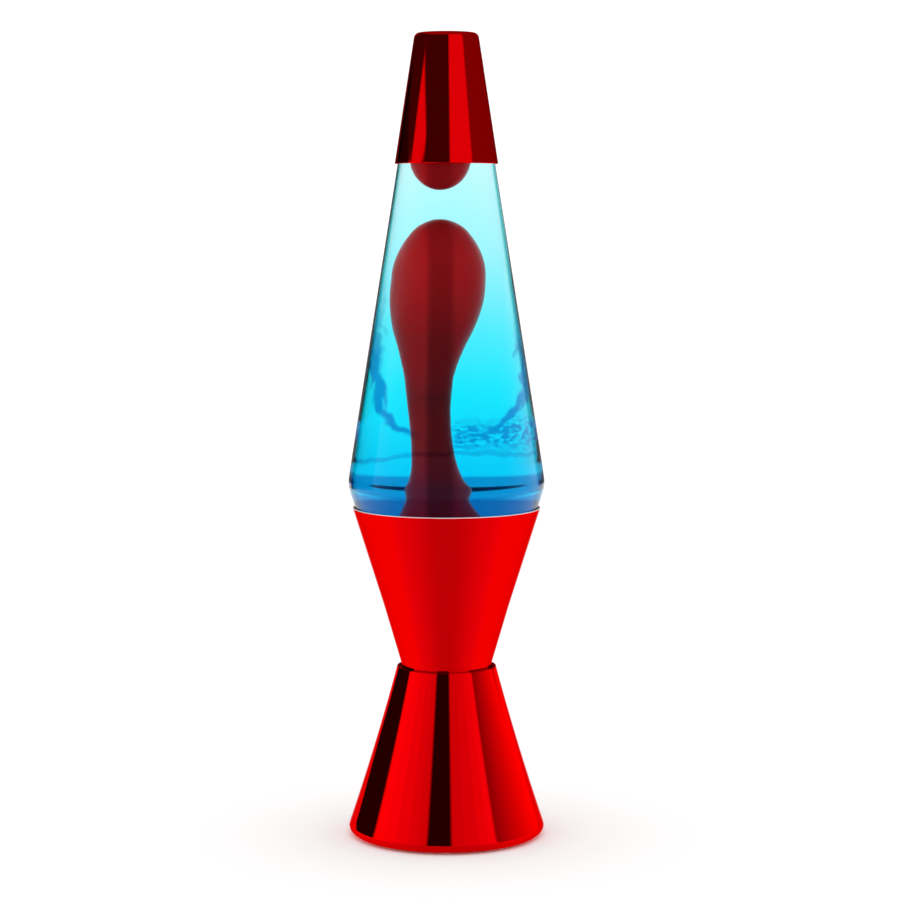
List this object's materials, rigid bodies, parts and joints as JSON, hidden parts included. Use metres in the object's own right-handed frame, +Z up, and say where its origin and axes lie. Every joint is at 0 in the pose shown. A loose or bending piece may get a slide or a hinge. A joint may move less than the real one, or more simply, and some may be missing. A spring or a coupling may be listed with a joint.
{
  "type": "lava lamp",
  "caption": "Tall tapered liquid motion lamp: a sealed glass bottle of blue liquid and red wax, in a waisted metal base under a metal cap.",
  "frame": {"origin": "on the lamp's axis, on the surface that its foot pads stand on", "axes": "+Z up along the lamp's axis, +Y towards the cable inlet at the back, -Y the front"},
  "size_m": [0.0906, 0.0906, 0.368],
  "materials": {
    "red_metal": "spun aluminium under a clear red lacquer, glossy and mirror-like",
    "rivet_aluminium": "bare rivet aluminium, satin",
    "zinc_steel": "bright zinc-plated steel",
    "phenolic": "black moulded phenolic, satin",
    "plain_brass": "plain brass, slightly dulled",
    "plate_plastic": "black moulded plastic with a fine texture",
    "black_rubber": "black rubber, matt",
    "grey_foam": "grey closed-cell foam",
    "clear_glass": "clear moulded bottle glass",
    "crown_steel": "tinplate, lacquered",
    "liner_plastic": "soft white sealing compound",
    "blue_liquid": "clear sky-blue liquid",
    "red_wax": "deep red wax, smooth",
    "coil_steel": "bright steel wire",
    "bulb_glass": "clear bulb glass, silvered inside behind the face",
    "tungsten": "drawn tungsten and nickel wire",
    "bulb_nickel": "nickel-plated brass",
    "black_glass": "black vitrite",
    "solder": "tin-lead solder, dull"
  },
  "bodies": {
    "base": {"foot_cone": "red_metal", "upper_cup": "red_metal", "waist_rivets": "rivet_aluminium", "holder_hanger": "zinc_steel", "holder_body": "phenolic", "holder_shell": "plain_brass", "holder_contact": "plain_brass", "terminal_screws": "zinc_steel", "nipple": "plain_brass", "nipple_nut": "plain_brass", "lock_washer": "zinc_steel", "base_plate": "plate_plastic", "plate_screws": "zinc_steel", "foot_pads": "black_rubber", "cable_grommet": "black_rubber"},
    "globe": {"bottle": "clear_glass", "crown_cap": "crown_steel", "crown_liner": "liner_plastic", "liquid": "blue_liquid", "wax_column": "red_wax", "wire_coil": "coil_steel"},
    "cap": {"cap_shell": "red_metal", "cap_pad": "grey_foam"},
    "bulb": {"bulb_envelope": "bulb_glass", "bulb_stem": "bulb_glass", "bulb_filament": "tungsten", "bulb_cap": "bulb_nickel", "bulb_insulator": "black_glass", "bulb_contact": "solder"},
    "blob": {"wax_blob": "red_wax"}
  },
  "joints": [
    {"name": "globe_lift", "type": "slide", "parent": "base", "child": "globe", "axis": [0, 0, 1], "range_m": [0, 0.06]},
    {"name": "cap_lift", "type": "slide", "parent": "globe", "child": "cap", "axis": [0, 0, 1], "range_m": [0, 0.06]},
    {"name": "bulb_unscrew", "type": "hinge", "parent": "base", "child": "bulb", "pos_m": [0, 0, 0.05], "axis": [0, 0, 1], "range_deg": [0, 1260]},
    {"name": "blob_float", "type": "slide", "parent": "globe", "child": "blob", "axis": [0, 0, 1], "range_m": [-0.012, 0], "deforming": ["liquid"]}
  ]
}
